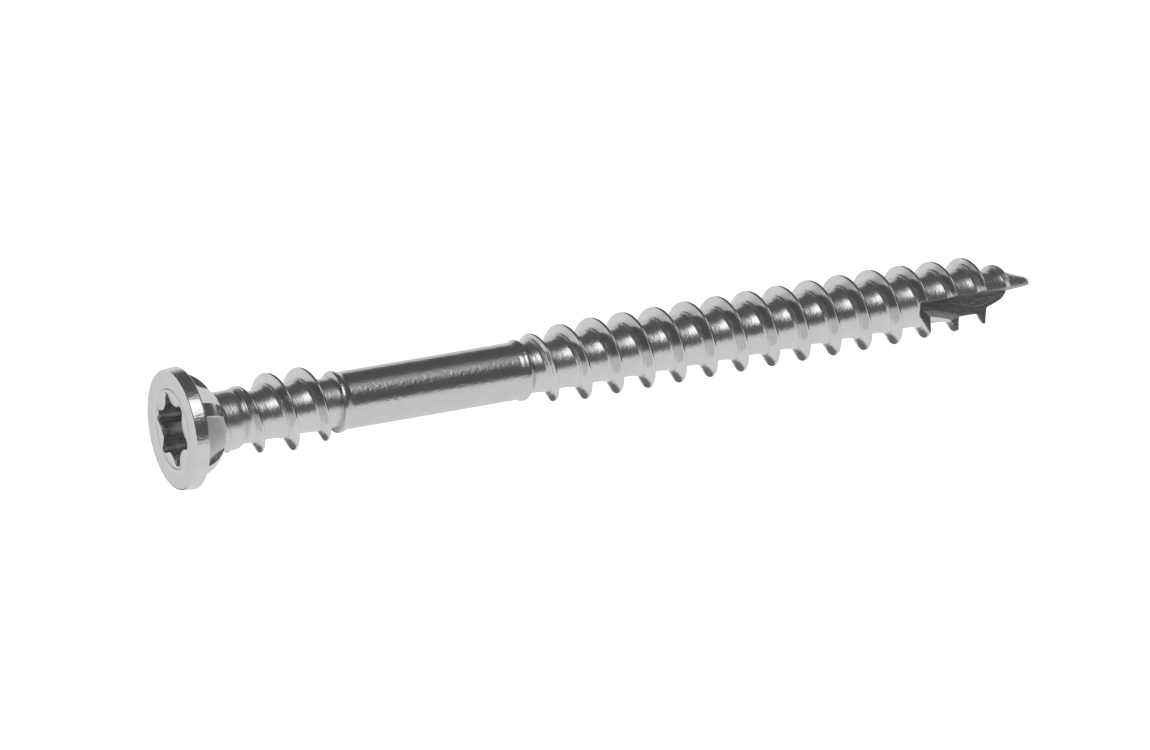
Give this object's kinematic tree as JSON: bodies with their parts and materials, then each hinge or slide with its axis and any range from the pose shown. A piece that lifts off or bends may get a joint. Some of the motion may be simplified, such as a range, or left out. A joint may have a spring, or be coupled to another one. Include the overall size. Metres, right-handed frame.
{
  "type": "wood screw",
  "caption": "Slim countersunk decking screw in stainless steel: six-lobe drive, ribs under the head, short fixing thread, plain shank, long coarse thread and a cut point.",
  "frame": {"origin": "centre of the head's flat top face, which sits flush with the timber's face when the screw is driven", "axes": "+Z along the screw's axis out of the head, towards the driver; the shaft runs down -Z to the tip; the flute of the cut point opens towards -X and -Y"},
  "size_m": [0.0076, 0.0076, 0.06],
  "materials": {
    "stainless_steel": "bright, thread-rolled, lightly satin, cutter marks in the flute"
  },
  "bodies": {
    "root": {"head_disc": "stainless_steel", "ribbed_cone": "stainless_steel", "neck": "stainless_steel", "fixing_core": "stainless_steel", "fixing_thread": "stainless_steel", "shank": "stainless_steel", "main_core": "stainless_steel", "main_thread": "stainless_steel", "cut_point": "stainless_steel", "point_thread": "stainless_steel"}
  },
  "joints": []
}
